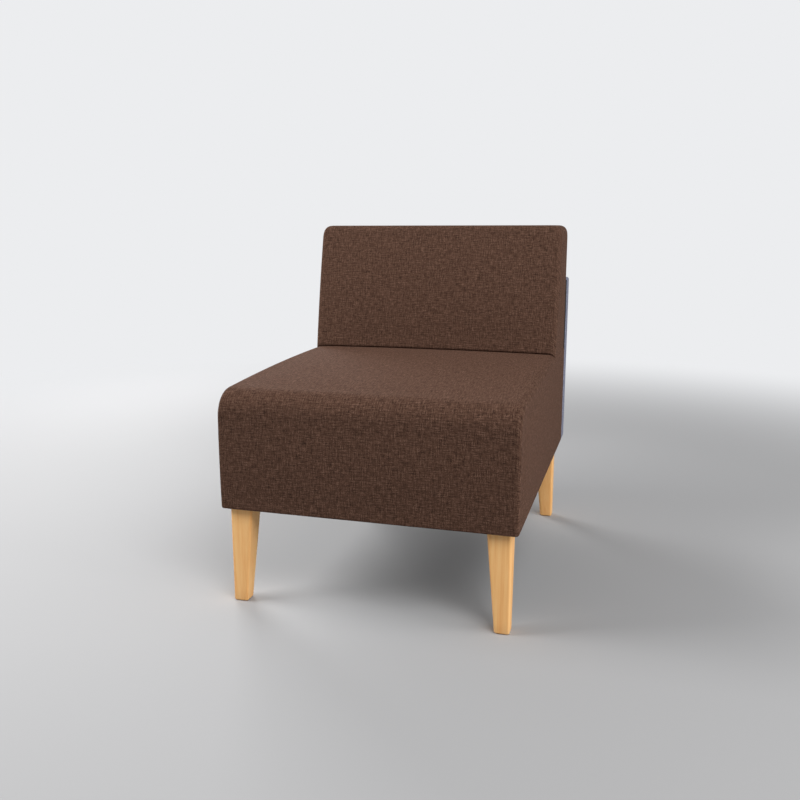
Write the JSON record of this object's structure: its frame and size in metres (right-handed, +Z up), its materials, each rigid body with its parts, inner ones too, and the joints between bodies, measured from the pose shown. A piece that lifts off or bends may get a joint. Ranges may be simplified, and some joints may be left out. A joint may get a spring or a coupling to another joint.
{
  "type": "slipper chair",
  "caption": "Armless upholstered easy chair: deep boxed seat with a rounded front, wedge back cushion, narrow rear panel in a second cloth, and tapered beech legs.",
  "frame": {"origin": "centre of the footprint on the floor", "axes": "+Z up, the chair faces -Y, +X to the right seen from the front"},
  "size_m": [0.604, 0.8128, 0.762],
  "materials": {
    "brown_cloth": "matte",
    "blue_cloth": "matte",
    "dust_cloth": "matte",
    "foam": "matte",
    "webbing": "matte",
    "softwood": "matte",
    "plywood": "matte",
    "beech": "satin",
    "nylon": "satin",
    "zinc_steel": "satin"
  },
  "bodies": {
    "root": {"seat_cover": "brown_cloth", "back_cover": "brown_cloth", "panel_cover": "blue_cloth", "dust_cloth": "dust_cloth", "seat_foam": "foam", "seat_padding": "foam", "back_foam": "foam", "panel_padding": "foam", "seat_front_rail": "softwood", "seat_rear_rail": "softwood", "seat_left_rail": "softwood", "seat_right_rail": "softwood", "seat_cross_rail": "softwood", "corner_block_front_left": "softwood", "corner_block_front_right": "softwood", "corner_block_rear_left": "softwood", "corner_block_rear_right": "softwood", "webbing_long_1": "webbing", "webbing_long_2": "webbing", "webbing_long_3": "webbing", "webbing_long_4": "webbing", "webbing_cross_1": "webbing", "webbing_cross_2": "webbing", "webbing_cross_3": "webbing", "webbing_cross_4": "webbing", "webbing_cross_5": "webbing", "leg_front_left": "beech", "leg_front_right": "beech", "leg_rear_left": "beech", "leg_rear_right": "beech", "glide_front_left": "nylon", "glide_front_right": "nylon", "glide_rear_left": "nylon", "glide_rear_right": "nylon", "leg_bolt_front_left": "zinc_steel", "leg_bolt_front_right": "zinc_steel", "leg_bolt_rear_left": "zinc_steel", "leg_bolt_rear_right": "zinc_steel", "leg_nut_front_left": "zinc_steel", "leg_nut_front_right": "zinc_steel", "leg_nut_rear_left": "zinc_steel", "leg_nut_rear_right": "zinc_steel", "panel_left_upright": "softwood", "panel_right_upright": "softwood", "panel_top_rail": "softwood", "panel_middle_rail": "softwood", "panel_bottom_rail": "softwood", "panel_front_board": "plywood", "panel_rear_board": "plywood", "back_board": "plywood", "panel_bolt_left": "zinc_steel", "panel_bolt_right": "zinc_steel", "panel_nut_left": "zinc_steel", "panel_nut_right": "zinc_steel", "back_bolt_left": "zinc_steel", "back_bolt_right": "zinc_steel", "back_nut_left": "zinc_steel", "back_nut_right": "zinc_steel"}
  },
  "joints": []
}
